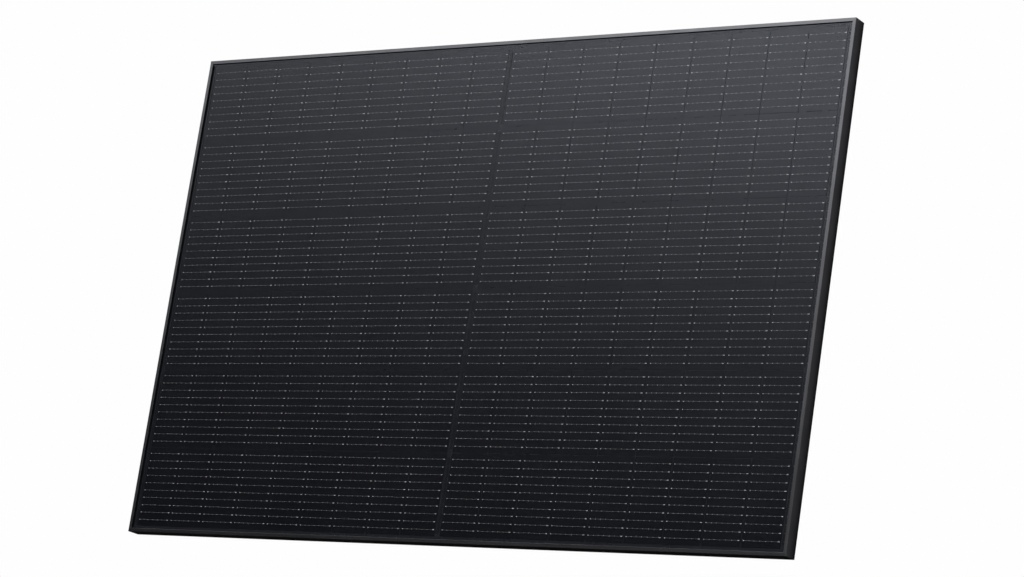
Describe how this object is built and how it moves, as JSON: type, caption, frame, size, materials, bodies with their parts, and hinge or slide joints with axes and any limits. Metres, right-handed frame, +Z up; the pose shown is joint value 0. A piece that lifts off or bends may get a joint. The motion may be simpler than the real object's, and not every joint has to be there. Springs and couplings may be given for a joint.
{
  "type": "solar panel",
  "caption": "Framed all-black solar panel of half-cut cells in landscape, with a lipped aluminium frame, slotted rear flanges and split junction boxes on its back.",
  "frame": {"origin": "centre of the outer mounting slots, on the plane of the frame's rear flanges", "axes": "+X along the long side, to the right as seen from the glass side; +Y out of the back; +Z up, along the short side"},
  "size_m": [1.722, 0.035, 1.134],
  "materials": {
    "black_anodised": "satin",
    "bare_aluminium": "satin",
    "black_sealant": "matte",
    "solar_glass": "gloss",
    "clear_encapsulant": "gloss",
    "black_backsheet": "matte",
    "silicon_cell": "satin",
    "tinned_wire": "satin",
    "black_ribbon": "matte",
    "tinned_ribbon": "satin",
    "box_plastic": "matte",
    "gland_plastic": "satin",
    "seal_rubber": "matte",
    "copper_terminal": "satin",
    "diode_body": "satin",
    "potting_gel": "satin",
    "blank_label": "satin"
  },
  "bodies": {
    "root": {"backsheet": "black_backsheet", "box_adhesive": "black_sealant", "bypass_diodes": "diode_body", "cell_string_left_1": "silicon_cell", "cell_string_left_2": "silicon_cell", "cell_string_left_3": "silicon_cell", "cell_string_left_4": "silicon_cell", "cell_string_left_5": "silicon_cell", "cell_string_left_6": "silicon_cell", "cell_string_right_1": "silicon_cell", "cell_string_right_2": "silicon_cell", "cell_string_right_3": "silicon_cell", "cell_string_right_4": "silicon_cell", "cell_string_right_5": "silicon_cell", "cell_string_right_6": "silicon_cell", "cell_wires_left_1": "tinned_wire", "cell_wires_left_2": "tinned_wire", "cell_wires_left_3": "tinned_wire", "cell_wires_left_4": "tinned_wire", "cell_wires_left_5": "tinned_wire", "cell_wires_left_6": "tinned_wire", "cell_wires_right_1": "tinned_wire", "cell_wires_right_2": "tinned_wire", "cell_wires_right_3": "tinned_wire", "cell_wires_right_4": "tinned_wire", "cell_wires_right_5": "tinned_wire", "cell_wires_right_6": "tinned_wire", "centre_bus_ribbons": "black_ribbon", "corner_key_bottom_left": "bare_aluminium", "corner_key_bottom_right": "bare_aluminium", "corner_key_top_left": "bare_aluminium", "corner_key_top_right": "bare_aluminium", "edge_sealant_bottom": "black_sealant", "edge_sealant_left": "black_sealant", "edge_sealant_right": "black_sealant", "edge_sealant_top": "black_sealant", "frame_rail_bottom": "black_anodised", "frame_rail_left": "black_anodised", "frame_rail_right": "black_anodised", "frame_rail_top": "black_anodised", "front_encapsulant": "clear_encapsulant", "front_glass": "solar_glass", "gland_nuts": "gland_plastic", "gland_seals": "seal_rubber", "junction_box_base_lower": "box_plastic", "junction_box_base_middle": "box_plastic", "junction_box_base_upper": "box_plastic", "junction_box_lid_lower": "box_plastic", "junction_box_lid_middle": "box_plastic", "junction_box_lid_upper": "box_plastic", "junction_terminals": "copper_terminal", "left_bus_ribbons": "black_ribbon", "potting_gel": "potting_gel", "rating_label": "blank_label", "rear_encapsulant": "clear_encapsulant", "ribbon_leads": "tinned_ribbon", "right_bus_ribbons": "black_ribbon"}
  },
  "joints": []
}
